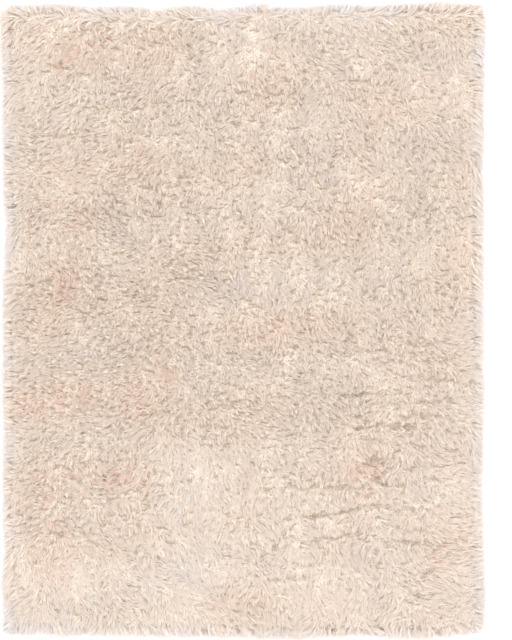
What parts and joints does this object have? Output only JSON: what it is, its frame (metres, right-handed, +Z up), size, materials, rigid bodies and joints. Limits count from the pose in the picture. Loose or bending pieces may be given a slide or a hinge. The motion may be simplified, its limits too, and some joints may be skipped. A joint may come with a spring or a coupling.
{
  "type": "shag rug",
  "caption": "Flat rectangular rug with rounded corners, a dense long combed-over pile on top, a pile edge that rolls down to the floor and a flat back.",
  "frame": {"origin": "on the floor under the middle of the rug's outline", "axes": "+Z up out of the pile, +Y along the long sides towards the head of the rug, +X across it to the right"},
  "size_m": [1.6129, 2.116, 0.0375],
  "materials": {
    "cream_pile": "warm cream long yarn pile, matt with a soft sheen, paler at the tips and tan at the roots"
  },
  "bodies": {
    "root": {"shag_rug": "cream_pile"}
  },
  "joints": []
}
